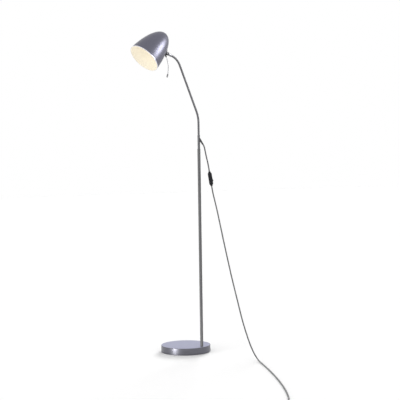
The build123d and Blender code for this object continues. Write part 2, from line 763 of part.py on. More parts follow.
def switch_case():
    """Whole outside of the switch: a rounded case with a collar at each end."""
    case_length = SWITCH_LENGTH - 2 * COLLAR_HEIGHT
    front = RectangleRounded(SWITCH_WIDTH, case_length, SWITCH_END_ROUND)
    side = RectangleRounded(SWITCH_THICKNESS, case_length, SWITCH_EDGE_ROUND)
    case = block(Plane.YZ, front, -SWITCH_THICKNESS / 2, SWITCH_THICKNESS / 2)
    case &= block(Plane.XZ, side, -SWITCH_WIDTH / 2, SWITCH_WIDTH / 2)
    end = SWITCH_LENGTH / 2
    root = end - COLLAR_ROOT
    collar = [(0, root), (COLLAR_ROOT_RADIUS, root), (COLLAR_TIP_RADIUS, end), (0, end)]
    for sign in (1, -1):
        case += turned(FLOOR, [(radius, sign * height) for radius, height in collar])
    return case


def rocker_well():
    """Well that the rocker turns in, with the holes for its two pins."""
    half_width = ROCKER_WIDTH / 2 + ROCKER_GAP
    half_length = ROCKER_SWING + ROCKER_GAP
    well = Pos(SWITCH_THICKNESS / 2, 0, 0) * Box(SWITCH_THICKNESS, 2 * half_width, 2 * half_length)
    pin_line = Plane(origin=(ROCKER_AXIS_HEIGHT, 0, 0), z_dir=(0, 1, 0))
    reach = half_width + ROCKER_PIN_LENGTH
    return well + cylinder(pin_line, ROCKER_PIN_RADIUS + RUNNING_GAP, -reach, reach)


def make_switch_front():
    """Front half of the case, which holds the rocker."""
    keep = Box(60, 60, 90, align=(Align.MIN, Align.CENTER, Align.CENTER))
    half = (switch_case() & keep) - rocker_well()
    for line in CASE_SCREW_LINES:
        half -= cylinder(line, CASE_SCREW_RADIUS, -1, CASE_SCREW_REACH)
    return SWITCH.location * half


def make_switch_back():
    """Back half of the case, with sunk holes for its two screws."""
    keep = Box(60, 60, 90, align=(Align.MAX, Align.CENTER, Align.CENTER))
    half = switch_case() & keep
    for line in CASE_SCREW_LINES:
        half -= cylinder(line, CASE_SCREW_RADIUS + THREAD_CLEARANCE, CASE_SCREW_SEAT, 1)
        half -= cylinder(line, CASE_SCREW_HEAD + THREAD_CLEARANCE, -SWITCH_THICKNESS, CASE_SCREW_SEAT)
    return SWITCH.location * half


def make_switch_screws():
    """The two slotted screws that hold the case together."""
    screws = Part()
    top = CASE_SCREW_SEAT - CASE_SCREW_HEIGHT
    for line in CASE_SCREW_LINES:
        screws += cylinder(line, CASE_SCREW_HEAD, top, CASE_SCREW_SEAT)
        screws += cylinder(line, CASE_SCREW_RADIUS, CASE_SCREW_SEAT, CASE_SCREW_REACH)
        slot = Rectangle(2 * CASE_SCREW_HEAD + 1, CASE_SCREW_SLOT)
        screws -= block(line, slot, top, top + CASE_SCREW_SLOT)
    return SWITCH.location * screws


def make_switch_rocker():
    """Rocker with two faces that meet in a shallow V, pressed down at its upper end."""
    foot, shoulder, end, valley = ROCKER_HEIGHTS
    lower = [(-ROCKER_FOOT, foot), (ROCKER_FOOT, foot), (ROCKER_FACE, shoulder), (ROCKER_FACE, end)]
    outline = Polyline(*lower, (0, valley), (-ROCKER_FACE, end), (-ROCKER_FACE, shoulder), close=True)
    # The outline's first coordinate runs along the case and the second out of it
    side = Plane(origin=(0, 0, 0), x_dir=(0, 0, 1), z_dir=(0, 1, 0))
    half_width = ROCKER_WIDTH / 2
    body = block(side, make_face(outline), -half_width, half_width)
    body &= cylinder(side, ROCKER_SWING, -half_width, half_width)
    reach = half_width + ROCKER_PIN_LENGTH
    body += cylinder(side, ROCKER_PIN_RADIUS, -reach, reach)
    tilted = Rot(0, -ROCKER_TILT, 0) * body
    return SWITCH.location * (Pos(ROCKER_AXIS_HEIGHT, 0, 0) * tilted)


# ---------------------------------------------------------------- cord and plug

def make_cord(name, points):
    """Cord tube along its points, with arcs as large as the runs allow."""
    radii = largest_arc_radii(points)
    path = FilletPolyline(*points, radius=radii)
    cord = sweep_round(path, CORD_WIDTH / 2)
    section = pi * CORD_WIDTH**2 / 4
    print(name, "length", round(path.length, 1), "least radius", round(min(radii), 1))
    print(name, "volume", round(cord.volume), "section x length", round(section * path.length))
    return cord


def plug_plane():
    """Local Z runs from the cord towards the pins, level with the floor, local Y is up."""
    last = Vector(CORD_LOWER[-1])
    before = Vector(CORD_LOWER[-2])
    heading = Vector(last.X - before.X, last.Y - before.Y, 0).normalized()
    return Plane(origin=last, x_dir=Vector(0, 0, 1).cross(heading), z_dir=heading)


PLUG = plug_plane()
PLUG_FRONT = RELIEF_LENGTH + PLUG_LENGTH


def make_plug_body():
    """Flat plug: six-sided face, drawn-in grip and a grooved strain relief."""
    right = [(half, RELIEF_LENGTH + beyond) for half, beyond in PLUG_OUTLINE]
    left = [(-half, height) for half, height in reversed(right)]
    level = PLUG_THICKNESS / 2
    flat = Plane(origin=(0, 0, 0), x_dir=(1, 0, 0), z_dir=(0, -1, 0))
    body = block(flat, make_face(Polyline(*right, *left, close=True)), -level, level)
    half = PLUG_WIDTH / 2
    edge = half - PLUG_EDGE
    face = Polyline((-half, 0), (-edge, -level), (edge, -level), (half, 0), (edge, level), (-edge, level),
                    close=True)
    body &= block(FLOOR, make_face(face), 0, PLUG_FRONT)
    relief = turned(
        FLOOR,
        [(0, 0), (RELIEF_TIP_RADIUS, 0), (RELIEF_ROOT_RADIUS, RELIEF_LENGTH), (0, RELIEF_LENGTH)],
    )
    for start in RELIEF_GROOVE_STARTS:
        relief -= tube(FLOOR, RELIEF_ROOT_RADIUS, GROOVE_FLOOR, start, start + GROOVE_WIDTH)
    return PLUG.location * (body + relief)


def make_plug_pins():
    """Two round pins with bevelled ends."""
    end = PLUG_FRONT + PIN_LENGTH
    profile = [
        (0, PLUG_FRONT),
        (PIN_RADIUS, PLUG_FRONT),
        (PIN_RADIUS, end - PIN_BEVEL),
        (PIN_RADIUS - PIN_BEVEL, end),
        (0, end),
    ]
    pins = [turned(Plane(origin=(side * PIN_SPACING / 2, 0, 0)), profile) for side in (-1, 1)]
    return PLUG.location * (pins[0] + pins[1])


def make_all():
    """Every node's solid by name."""
    nodes = {
        "base_cover": make_base_cover(),
        "base_weight": make_base_weight(),
        "base_pad": make_base_pad(),
        "base_washer": make_base_washer(),
        "base_bolt": make_base_bolt(),
        "pole_foot_insert": make_pole_insert(),
        "lower_pole": make_pole_section(BASE_HEIGHT, POLE_JOINT_Z),
        "upper_pole": make_pole_section(POLE_JOINT_Z, POLE_TOP_Z),
        "pole_joiner": make_pole_joiner(),
        "top_reducer": make_top_reducer(),
        "neck_nipple": make_neck_nipple(),
        "outlet_sleeve": make_outlet_sleeve(),
        "outlet_bush": make_outlet_bush(),
        "neck_ferrule": make_ferrule(),
        "swivel_fork": make_swivel_fork(),
        "tilt_screw": make_tilt_screw(),
        "tilt_nut": make_tilt_nut(),
        "shade_knuckle": make_shade_knuckle(),
        "threaded_stem": make_thread_stem(),
        "ring_nut": make_ring_nut(),
        "shade": make_shade(),
        "holder_bracket": make_holder_bracket(),
        "holder_screw": make_holder_screw(),
        "lamp_holder": make_lamp_holder(),
        "holder_shell": make_holder_shell(),
        "holder_contact": make_holder_contact(),
        "head_lead": make_head_lead(),
        "bulb_cap": make_bulb_cap(),
        "bulb_glass": make_bulb_glass(),
        "handle_rod": make_handle_rod(),
        "handle_tip": make_handle_tip(),
        "switch_front": make_switch_front(),
        "switch_back": make_switch_back(),
        "switch_screws": make_switch_screws(),
        "switch_rocker": make_switch_rocker(),
        "cord_upper": make_cord("cord_upper", CORD_UPPER),
        "cord_lower": make_cord("cord_lower", CORD_LOWER),
        "plug_body": make_plug_body(),
        "plug_pins": make_plug_pins(),
    }
    for index, (start, end) in enumerate(zip(HOSE_STARTS, HOSE_ENDS)):
        nodes[f"hose_{index}"] = make_hose(start, end)
    return nodes


os.makedirs("parts", exist_ok=True)
for node, solid in make_all().items():
    export_step(solid, f"parts/{node}.step")
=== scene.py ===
import json
from math import ceil, cos, pi, radians, sin, tan

import bpy
from mathutils import Matrix, Vector


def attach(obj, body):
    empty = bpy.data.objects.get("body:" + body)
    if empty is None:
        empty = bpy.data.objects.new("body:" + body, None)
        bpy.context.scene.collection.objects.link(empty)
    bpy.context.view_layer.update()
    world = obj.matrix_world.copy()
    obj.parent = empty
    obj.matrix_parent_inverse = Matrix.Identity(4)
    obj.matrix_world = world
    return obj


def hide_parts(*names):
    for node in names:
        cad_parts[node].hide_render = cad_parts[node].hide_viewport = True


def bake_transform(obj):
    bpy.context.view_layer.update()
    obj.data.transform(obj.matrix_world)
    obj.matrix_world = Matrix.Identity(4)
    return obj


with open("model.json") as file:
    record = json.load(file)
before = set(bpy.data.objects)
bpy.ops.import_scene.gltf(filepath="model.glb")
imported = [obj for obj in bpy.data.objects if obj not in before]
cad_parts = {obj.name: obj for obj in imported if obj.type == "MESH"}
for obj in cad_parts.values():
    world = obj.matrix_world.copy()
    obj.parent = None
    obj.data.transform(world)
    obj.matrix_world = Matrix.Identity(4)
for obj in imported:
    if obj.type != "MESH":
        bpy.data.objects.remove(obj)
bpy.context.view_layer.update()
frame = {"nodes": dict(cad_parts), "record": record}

# Gooseneck reading floor lamp, dressed over the CAD frame. Metres, +Z up, the floor at Z = 0.

# The camera, fitted to the photograph's perspective
PHOTO_AZIMUTH = radians(-35)
PHOTO_DISTANCE = 4.2
PHOTO_SIDE_STEP = 0.0662
PHOTO_HEIGHT = 0.7575
PHOTO_PITCH = radians(1.974)
PHOTO_ROLL = radians(-0.842)
PHOTO_LENS_MM = 93.7
SENSOR_MM = 36
VIEW_END = 60

# The world looks white and lights the lamp less strongly; the floor glows a little by itself
WORLD_LIGHT = 0.66
FLOOR_HALF = 20
FLOOR_WHITE = (0.95, 0.95, 0.95, 1)
FLOOR_LIFT = 0.04

# A window's azimuth, height above the floor and softness are in degrees, and one that isn't
# in metal is not mirrored by it. A softbox's place, aim and size are in metres.
LEFT_WINDOW = {"azimuth": -81, "height": 9, "strength": 0.8, "softness": 30, "in_metal": True}
BACK_WINDOW = {"azimuth": 130, "height": 15, "strength": 3.9, "softness": 24, "in_metal": False}
HEAD_SOFTBOX = {
    "place": (0.73, -0.74, 1.52),
    "aim": (-0.2, -0.086, 1.18),
    "size": 0.6,
    "watts": 1.3,
    "spread": radians(60),
}
BASE_SOFTBOX = {
    "place": (-0.75, -0.09, 0.06),
    "aim": (-0.05, -0.05, 0.022),
    "size": 0.11,
    "watts": 0.13,
    "spread": radians(40),
}

POLE_X = 0.0188
POLE_Y = -0.086

# Turned pieces show an edge where faces meet at more than TURNED_SHARP, and a profile's
# point within ON_AXIS of the axis becomes a single point
TURNED_SHARP = radians(40)
ON_AXIS = 1e-7

BASE_RADIUS = 0.1
BASE_HEIGHT = 0.028
BASE_WALL = 0.001
BASE_LIFT = 0.0012
BASE_EDGE = 0.0026
BASE_EDGE_STEPS = 8
BASE_MIDDLE_RING = 0.05
BASE_SIDES = 160
BASE_TOP_LEAST_SLOPE = 0.8

# The gooseneck's corners as (distance from the pole, height), the radii of its bends, and
# its pivots as distances along it
NECK_CORNERS = [(0.0, 0.872), (0.0, 0.945), (0.09635, 1.1706)]
NECK_BENDS = [0.12, 0.066]
NECK_END_RISE = radians(20)
NECK_LAST_RUN = 0.0288
FERRULE_START = 0.024
HOSE_IN_FERRULE = 0.007
NECK_STEP = 0.0008
HOSE_RADIUS = 0.00425
HOSE_SIDES = 24
HOSE_TURN_PITCH = 0.0028
HOSE_TURN_DEPTH = 0.00042
HOSE_RINGS_IN_A_TURN = 7.0
NECK_PIVOTS = [0.022, 0.0727, 0.187, 0.315]

SHADE_RADIUS = 0.0634
SHADE_LENGTH = 0.1393
SHADE_SIDE_PULL = 0.02
SHADE_CROWN_PULL = 0.049
SHADE_RISE = radians(44.7)
SHADE_WALL = 0.001
SHADE_JOINT_SHARE = 0.557
SHADE_HEADING_SHARE = 0.001
SHADE_STANDOFF = 0.010
SHADE_STEPS = 48
SHADE_SIDES = 128
RIM_OUT = 0.0005
RIM_HEIGHT = 0.0022
RIM_BEVEL = 0.0005
RIM_CORNER = 0.00015
RIM_TOP_STEP = (0.0002, 0.0001)

# The bulb's places are distances from the shade's mouth along its axis
BULB_TIP = 0.032
BULB_RADIUS = 0.0225
BULB_NECK_RADIUS = 0.0095
BULB_NECK_TURN = radians(38)
BULB_STEPS = 30
BULB_SIDES = 64
CAP_START = 0.083
CAP_END = 0.108
CAP_RADIUS = 0.0069
CAP_COLLAR = 0.004
CAP_FOOT = 0.005
CAP_THREAD_PITCH = 0.0027
CAP_THREAD_DEPTH = 0.0005
CAP_THREAD_STEPS = 8
CAP_CONTACT = (0.0026, 0.001)
CAP_SIDES = 48

# The cord's route, the same points as the CAD tube's; the flat cord lies lower on the floor
CORD_WIDTH = 0.0054
CORD_THICKNESS = 0.0033
CORD_SHARP = radians(60)
CORD_CORE_SPAN = 150
CORD_CORE_STEP = 15
CORD_REST = 0.00175
CORD_TOUCH = 0.0001
PLUG_REST = 0.00695
CORD_UPPER = [
    (0.0318, -0.0962, 0.8356),
    (0.0355, -0.0991, 0.8280),
    (0.0372, -0.1016, 0.8125),
    (0.0404, -0.1056, 0.7870),
    (0.0451, -0.1115, 0.7552),
    (0.0478, -0.1147, 0.7275),
]
CORD_LOWER = [
    (0.0533, -0.1213, 0.6702),
    (0.0560, -0.1245, 0.6425),
    (0.0633, -0.1355, 0.5920),
    (0.0715, -0.1485, 0.5210),
    (0.0790, -0.1633, 0.4460),
    (0.0862, -0.1802, 0.3700),
    (0.0926, -0.1978, 0.2970),
    (0.0985, -0.2190, 0.2250),
    (0.1026, -0.2425, 0.1500),
    (0.1048, -0.2660, 0.0970),
    (0.1045, -0.2920, 0.0520),
    (0.1005, -0.3220, 0.0220),
    (0.0900, -0.3600, 0.0045),
    (0.0730, -0.4020, CORD_REST),
    (0.0414, -0.4667, CORD_REST),
    (0.0055, -0.5371, CORD_REST),
    (-0.0321, -0.6077, CORD_REST),
    (-0.0699, -0.6759, CORD_REST),
    (-0.1103, -0.7450, CORD_REST),
    (-0.1514, -0.8113, CORD_REST),
    (-0.1956, -0.8780, CORD_REST),
    (-0.2396, -0.9375, CORD_REST),
    (-0.2779, -0.9696, CORD_REST),
    (-0.3178, -0.9826, CORD_REST),
    (-0.3550, -0.9790, CORD_REST),
    (-0.3820, -0.9650, PLUG_REST),
    (-0.4020, -0.9490, PLUG_REST),
]
# Way that the flat cord's width points where it enters the switch
CORD_AT_SWITCH = Vector((0.82, -0.57, 0))


# ---------------------------------------------------------------- camera, light and floor

def photo_camera():
    """Camera at the photograph's place: 35 degrees round, just above the lamp's middle."""
    ahead = Vector((-sin(PHOTO_AZIMUTH), cos(PHOTO_AZIMUTH), 0))
    right = Vector((cos(PHOTO_AZIMUTH), sin(PHOTO_AZIMUTH), 0))
    place = right * PHOTO_SIDE_STEP - ahead * PHOTO_DISTANCE + Vector((0, 0, PHOTO_HEIGHT))
    look = ahead * cos(PHOTO_PITCH) - Vector((0, 0, sin(PHOTO_PITCH)))
    level = right.cross(look)
    across = right * cos(PHOTO_ROLL) + level * sin(PHOTO_ROLL)
    upward = level * cos(PHOTO_ROLL) - right * sin(PHOTO_ROLL)
    lens = bpy.data.cameras.new("photo_camera")
    lens.lens = PHOTO_LENS_MM
    lens.sensor_width = SENSOR_MM
    lens.clip_end = VIEW_END
    camera = bpy.data.objects.new("photo_camera", lens)
    turn = Matrix((across, upward, -look)).transposed()
    camera.matrix_world = Matrix.Translation(place) @ turn.to_4x4()
    bpy.context.scene.collection.objects.link(camera)
    bpy.context.scene.camera = camera


def seen_by_eye_or_gloss(tree):
    """Value that is 1 for camera, glossy and transmission rays and 0 for the rest."""
    rays = tree.nodes.new("ShaderNodeLightPath")
    seen = rays.outputs["Is Camera Ray"]
    for kind in ("Is Glossy Ray", "Is Transmission Ray"):
        either = tree.nodes.new("ShaderNodeMath")
        either.operation = "MAXIMUM"
        tree.links.new(seen, either.inputs[0])
        tree.links.new(rays.outputs[kind], either.inputs[1])
        seen = either.outputs[0]
    return seen


def white_world():
    """World that is white to look at and lights the lamp softly."""
    world = bpy.data.worlds.new("studio")
    bpy.context.scene.world = world
    world.use_nodes = True
    tree = world.node_tree
    backdrop = tree.nodes["Background"]
    strength = tree.nodes.new("ShaderNodeMapRange")
    strength.inputs["To Min"].default_value = WORLD_LIGHT
    strength.inputs["To Max"].default_value = 1.0
    tree.links.new(seen_by_eye_or_gloss(tree), strength.inputs["Value"])
    backdrop.inputs["Color"].default_value = (1, 1, 1, 1)
    tree.links.new(strength.outputs[0], backdrop.inputs["Strength"])


def light_object(name, lamp, towards):
    """Scene object for a lamp that shines from a direction."""
    holder = bpy.data.objects.new(name, lamp)
    holder.rotation_euler = towards.to_track_quat("Z", "Y").to_euler()
    bpy.context.scene.collection.objects.link(holder)
    return holder


def window(name, setup):
    """Distant soft lamp, from an azimuth round the scene and a height above the floor."""
    lamp = bpy.data.lights.new(name, "SUN")
    lamp.energy = setup["strength"]
    lamp.angle = radians(setup["softness"])
    azimuth, height = radians(setup["azimuth"]), radians(setup["height"])
    towards = Vector((cos(height) * sin(azimuth), -cos(height) * cos(azimuth), sin(height)))
    light_object(name, lamp, towards).visible_glossy = setup["in_metal"]


def softbox(name, setup):
    """Round soft lamp near a piece, for one long highlight on it."""
    lamp = bpy.data.lights.new(name, "AREA")
    lamp.shape = "DISK"
    lamp.size = setup["size"]
    lamp.energy = setup["watts"]
    lamp.spread = setup["spread"]
    holder = light_object(name, lamp, Vector(setup["place"]) - Vector(setup["aim"]))
    holder.location = setup["place"]
    holder.visible_camera = False


def studio_floor():
    """White floor that keeps the lamp's soft shadow."""
    half = FLOOR_HALF
    mesh = bpy.data.meshes.new("studio_floor")
    corners = [(-half, -half, 0), (half, -half, 0), (half, half, 0), (-half, half, 0)]
    mesh.from_pydata(corners, [], [(0, 1, 2, 3)])
    floor = bpy.data.objects.new("studio_floor", mesh)
    bpy.context.scene.collection.objects.link(floor)
    material = bpy.data.materials.new("floor_white")
    material.use_nodes = True
    tree = material.node_tree
    tree.nodes.clear()
    matt = tree.nodes.new("ShaderNodeBsdfDiffuse")
    matt.inputs["Color"].default_value = FLOOR_WHITE
    lift = tree.nodes.new("ShaderNodeEmission")
    strength = tree.nodes.new("ShaderNodeMath")
    strength.operation = "MULTIPLY"
    strength.inputs[1].default_value = FLOOR_LIFT
    tree.links.new(seen_by_eye_or_gloss(tree), strength.inputs[0])
    tree.links.new(strength.outputs[0], lift.inputs["Strength"])
    both = tree.nodes.new("ShaderNodeAddShader")
    tree.links.new(matt.outputs[0], both.inputs[0])
    tree.links.new(lift.outputs[0], both.inputs[1])
    output = tree.nodes.new("ShaderNodeOutputMaterial")
    tree.links.new(both.outputs[0], output.inputs["Surface"])
    mesh.materials.append(material)


# ---------------------------------------------------------------- shared surface effects

def group_tree(name, inputs, outputs):
    """Empty shader node group with named float and vector sockets."""
    tree = bpy.data.node_groups.new(name, "ShaderNodeTree")
    for socket, kind, value in inputs:
        made = tree.interface.new_socket(socket, in_out="INPUT", socket_type=kind)
        if value is not None:
            made.default_value = value
    for socket, kind in outputs:
        tree.interface.new_socket(socket, in_out="OUTPUT", socket_type=kind)
    return tree, tree.nodes.new("NodeGroupInput"), tree.nodes.new("NodeGroupOutput")


def brushing_group():
    """Fine scratches along local Z of the stretched coordinates, and slow changes of tone."""
    tree, given, result = group_tree(
        "brushing",
        [
            ("Place", "NodeSocketVector", None),
            ("Lines", "NodeSocketFloat", 900.0),
            ("Clouds", "NodeSocketFloat", 9.0),
        ],
        [("Scratch", "NodeSocketFloat"), ("Cloud", "NodeSocketFloat")],
    )
    for output, scale, detail in (("Scratch", "Lines", 4), ("Cloud", "Clouds", 2)):
        noise = tree.nodes.new("ShaderNodeTexNoise")
        noise.inputs["Detail"].default_value = detail
        tree.links.new(given.outputs["Place"], noise.inputs["Vector"])
        tree.links.new(given.outputs[scale], noise.inputs["Scale"])
        tree.links.new(noise.outputs["Fac"], result.inputs[output])
    return tree


def handling_group():
    """Mask of handling marks: soft smudges broken up by small nicks."""
    tree, given, result = group_tree(
        "handling",
        [
            ("Place", "NodeSocketVector", None),
            ("Smudges", "NodeSocketFloat", 30.0),
            ("Nicks", "NodeSocketFloat", 420.0),
        ],
        [("Mask", "NodeSocketFloat")],
    )
    smudge = tree.nodes.new("ShaderNodeTexNoise")
    smudge.inputs["Detail"].default_value = 3
    nick = tree.nodes.new("ShaderNodeTexVoronoi")
    nick.feature = "DISTANCE_TO_EDGE"
    for node, scale in ((smudge, "Smudges"), (nick, "Nicks")):
        tree.links.new(given.outputs["Place"], node.inputs["Vector"])
        tree.links.new(given.outputs[scale], node.inputs["Scale"])
    product = tree.nodes.new("ShaderNodeMath")
    product.operation = "MULTIPLY"
    tree.links.new(smudge.outputs["Fac"], product.inputs[0])
    tree.links.new(nick.outputs["Distance"], product.inputs[1])
    spread = tree.nodes.new("ShaderNodeMapRange")
    spread.inputs["From Max"].default_value = 0.35
    tree.links.new(product.outputs[0], spread.inputs["Value"])
    tree.links.new(spread.outputs[0], result.inputs["Mask"])
    return tree


BRUSHING = brushing_group()
HANDLING = handling_group()


def surface(name, metallic, roughness, specular=0.5):
    """New material with its Principled shader, and Object coordinates to hang patterns on."""
    material = bpy.data.materials.new(name)
    material.use_nodes = True
    tree = material.node_tree
    shader = tree.nodes["Principled BSDF"]
    shader.inputs["Metallic"].default_value = metallic
    shader.inputs["Roughness"].default_value = roughness
    shader.inputs["Specular IOR Level"].default_value = specular
    place = tree.nodes.new("ShaderNodeTexCoord").outputs["Object"]
    return material, tree, shader, place


def placed_group(tree, group, place, stretch, values):
    """A shared group in this material, its pattern stretched along the object's axes."""
    mapping = tree.nodes.new("ShaderNodeMapping")
    mapping.inputs["Scale"].default_value = stretch
    tree.links.new(place, mapping.inputs["Vector"])
    node = tree.nodes.new("ShaderNodeGroup")
    node.node_tree = group
    tree.links.new(mapping.outputs[0], node.inputs["Place"])
    for socket, value in values.items():
        node.inputs[socket].default_value = value
    return node


def tone(tree, shader, mask, dark, pale, socket="Base Color"):
    """Colour that runs from a dark to a pale tone with a mask."""
    mix = tree.nodes.new("ShaderNodeMix")
    mix.data_type = "RGBA"
    mix.inputs["A"].default_value = (*dark, 1)
    mix.inputs["B"].default_value = (*pale, 1)
    tree.links.new(mask, mix.inputs["Factor"])
    tree.links.new(mix.outputs["Result"], shader.inputs[socket])


def roughness_range(tree, shader, mask, low, high):
    """Roughness that runs between two values with a mask."""
    spread = tree.nodes.new("ShaderNodeMapRange")
    spread.inputs["To Min"].default_value = low
    spread.inputs["To Max"].default_value = high
    tree.links.new(mask, spread.inputs["Value"])
    tree.links.new(spread.outputs[0], shader.inputs["Roughness"])


def relief(tree, shader, height, depth):
    """Fine relief from a height mask, its depth in metres."""
    bump = tree.nodes.new("ShaderNodeBump")
    bump.inputs["Strength"].default_value = 1.0
    bump.inputs["Distance"].default_value = depth
    tree.links.new(height, bump.inputs["Height"])
    tree.links.new(bump.outputs[0], shader.inputs["Normal"])


# ---------------------------------------------------------------- finishes

def base_top_finish():
    """Brushed steel with a violet cast, brushed across the disc."""
    material, tree, shader, place = surface("base_brushed_steel", 0.8, 0.42)
    brush = placed_group(tree, BRUSHING, place, (0.05, 1, 1), {"Lines": 900, "Clouds": 14})
    tone(tree, shader, brush.outputs["Scratch"], (0.33, 0.34, 0.45), (0.47, 0.48, 0.62))
    roughness_range(tree, shader, brush.outputs["Cloud"], 0.50, 0.60)
    relief(tree, shader, brush.outputs["Scratch"], 0.00002)
    return material


def base_side_painted_shade_finish():
    """The base's side: a darker copy of the base's steel, painted shade for the side, brushed
    round the disc.
    """
    material, tree, shader, place = surface("base_side_painted_shade", 0.9, 0.3)
    brush = placed_group(tree, BRUSHING, place, (0.04, 0.04, 1), {"Lines": 1100, "Clouds": 10})
    tone(tree, shader, brush.outputs["Scratch"], (0.095, 0.095, 0.115), (0.19, 0.19, 0.215))
    roughness_range(tree, shader, brush.outputs["Cloud"], 0.28, 0.35)
    relief(tree, shader, brush.outputs["Scratch"], 0.00002)
    return material


def pole_finish():
    """Steel tube brushed along its length."""
    material, tree, shader, place = surface("pole_brushed_steel", 0.9, 0.28)
    brush = placed_group(tree, BRUSHING, place, (1, 1, 0.02), {"Lines": 2600, "Clouds": 20})
    tone(tree, shader, brush.outputs["Scratch"], (0.125, 0.125, 0.128), (0.18, 0.18, 0.184))
    roughness_range(tree, shader, brush.outputs["Cloud"], 0.50, 0.62)
    relief(tree, shader, brush.outputs["Scratch"], 0.00001)
    return material


def hose_finish():
    """Satin steel strip of the wound hose, clouded by handling."""
    material, tree, shader, place = surface("hose_satin_steel", 0.85, 0.4)
    brush = placed_group(tree, BRUSHING, place, (1, 1, 1), {"Lines": 1900, "Clouds": 60})
    tone(tree, shader, brush.outputs["Cloud"], (0.095, 0.095, 0.10), (0.165, 0.165, 0.175))
    roughness_range(tree, shader, brush.outputs["Scratch"], 0.32, 0.48)
    relief(tree, shader, brush.outputs["Scratch"], 0.000008)
    return material


def bright_finish():
    """Polished turned steel with faint handling marks."""
    material, tree, shader, place = surface("bright_turned_steel", 1.0, 0.24)
    marks = placed_group(tree, HANDLING, place, (1, 1, 1), {"Smudges": 120, "Nicks": 900})
    tone(tree, shader, marks.outputs["Mask"], (0.22, 0.22, 0.235), (0.32, 0.32, 0.34))
    roughness_range(tree, shader, marks.outputs["Mask"], 0.2, 0.32)
    return material


def zinc_finish():
    """Zinc plate with a pale spangle."""
    material, tree, shader, place = surface("zinc_plate", 0.85, 0.4)
    marks = placed_group(tree, HANDLING, place, (1, 1, 1), {"Smudges": 260, "Nicks": 1500})
    tone(tree, shader, marks.outputs["Mask"], (0.42, 0.43, 0.45), (0.60, 0.61, 0.63))
    roughness_range(tree, shader, marks.outputs["Mask"], 0.32, 0.5)
    return material


def iron_finish():
    """Rough cast iron, dark grey."""
    material, tree, shader, place = surface("cast_iron", 0.5, 0.75)
    skin = placed_group(tree, BRUSHING, place, (1, 1, 1), {"Lines": 260, "Clouds": 30})
    tone(tree, shader, skin.outputs["Cloud"], (0.05, 0.05, 0.05), (0.10, 0.10, 0.10))
    relief(tree, shader, skin.outputs["Scratch"], 0.0002)
    return material


def foam_finish():
    """Matt black foam with an open grain."""
    material, tree, shader, place = surface("foam_pad", 0.0, 0.95, 0.2)
    skin = placed_group(tree, HANDLING, place, (1, 1, 1), {"Smudges": 90, "Nicks": 700})
    tone(tree, shader, skin.outputs["Mask"], (0.025, 0.025, 0.025), (0.055, 0.055, 0.055))
    relief(tree, shader, skin.outputs["Mask"], 0.0002)
    return material


def black_moulding():
    """Near-black moulded plastic with a fine spark-eroded grain."""
    material, tree, shader, place = surface("black_moulding", 0.0, 0.5, 0.15)
    skin = placed_group(tree, BRUSHING, place, (1, 1, 1), {"Lines": 2400, "Clouds": 50})
    tone(tree, shader, skin.outputs["Cloud"], (0.010, 0.010, 0.012), (0.020, 0.020, 0.024))
    roughness_range(tree, shader, skin.outputs["Cloud"], 0.38, 0.52)
    relief(tree, shader, skin.outputs["Scratch"], 0.00003)
    return material


def wire_finish():
    """Grey drawn wire of the handle."""
    material, tree, shader, place = surface("handle_wire", 0.85, 0.35)
    brush = placed_group(tree, BRUSHING, place, (1, 1, 0.1), {"Lines": 2000, "Clouds": 80})
    tone(tree, shader, brush.outputs["Scratch"], (0.24, 0.24, 0.25), (0.36, 0.36, 0.38))
    roughness_range(tree, shader, brush.outputs["Cloud"], 0.3, 0.42)
    return material


def rubber_finish():
    """Soft grey cap, dusty at its touch points."""
    material, tree, shader, place = surface("handle_rubber", 0.0, 0.7, 0.35)
    marks = placed_group(tree, HANDLING, place, (1, 1, 1), {"Smudges": 200, "Nicks": 900})
    tone(tree, shader, marks.outputs["Mask"], (0.24, 0.24, 0.245), (0.32, 0.32, 0.325))
    roughness_range(tree, shader, marks.outputs["Mask"], 0.6, 0.8)
    return material


def shade_outside():
    """Satin graphite-silver lacquer with a blue-violet cast and a fine metallic fleck."""
    material, tree, shader, place = surface("shade_graphite_lacquer", 0.9, 0.3)
    fleck = placed_group(tree, BRUSHING, place, (1, 1, 1), {"Lines": 3200, "Clouds": 11})
    tone(tree, shader, fleck.outputs["Scratch"], (0.128, 0.128, 0.163), (0.145, 0.145, 0.184))
    roughness_range(tree, shader, fleck.outputs["Cloud"], 0.33, 0.40)
    relief(tree, shader, fleck.outputs["Scratch"], 0.000002)
    return material


def shade_inside_painted_glow():
    """White enamel with a warm painted glow: its own emission stands in for the bulb's light on
    it.
    """
    material, tree, shader, place = surface("shade_white_enamel_painted_glow", 0.0, 0.5, 0.3)
    skin = placed_group(tree, BRUSHING, place, (1, 1, 1), {"Lines": 500, "Clouds": 18})
    tone(tree, shader, skin.outputs["Cloud"], (0.60, 0.57, 0.49), (0.63, 0.60, 0.52))
    # Painted glow: the enamel emits warm light in place of the bulb's light falling on it
    dim, warm = (1.0, 0.91, 0.74), (1.0, 0.92, 0.76)
    tone(tree, shader, skin.outputs["Cloud"], dim, warm, "Emission Color")
    shader.inputs["Emission Strength"].default_value = 0.34
    relief(tree, shader, skin.outputs["Scratch"], 0.00001)
    return material


def rim_finish():
    """The rolled rim, in a pale steel tone."""
    material, tree, shader, place = surface("shade_pale_rim", 0.9, 0.3)
    marks = placed_group(tree, HANDLING, place, (1, 1, 1), {"Smudges": 60, "Nicks": 600})
    tone(tree, shader, marks.outputs["Mask"], (0.72, 0.72, 0.80), (0.82, 0.82, 0.90))
    roughness_range(tree, shader, marks.outputs["Mask"], 0.25, 0.4)
    return material


def holder_finish():
    """Off-white moulded lamp holder."""
    material, tree, shader, place = surface("holder_moulding", 0.0, 0.4)
    skin = placed_group(tree, BRUSHING, place, (1, 1, 1), {"Lines": 900, "Clouds": 40})
    tone(tree, shader, skin.outputs["Cloud"], (0.70, 0.67, 0.60), (0.80, 0.77, 0.70))
    relief(tree, shader, skin.outputs["Scratch"], 0.00001)
    return material


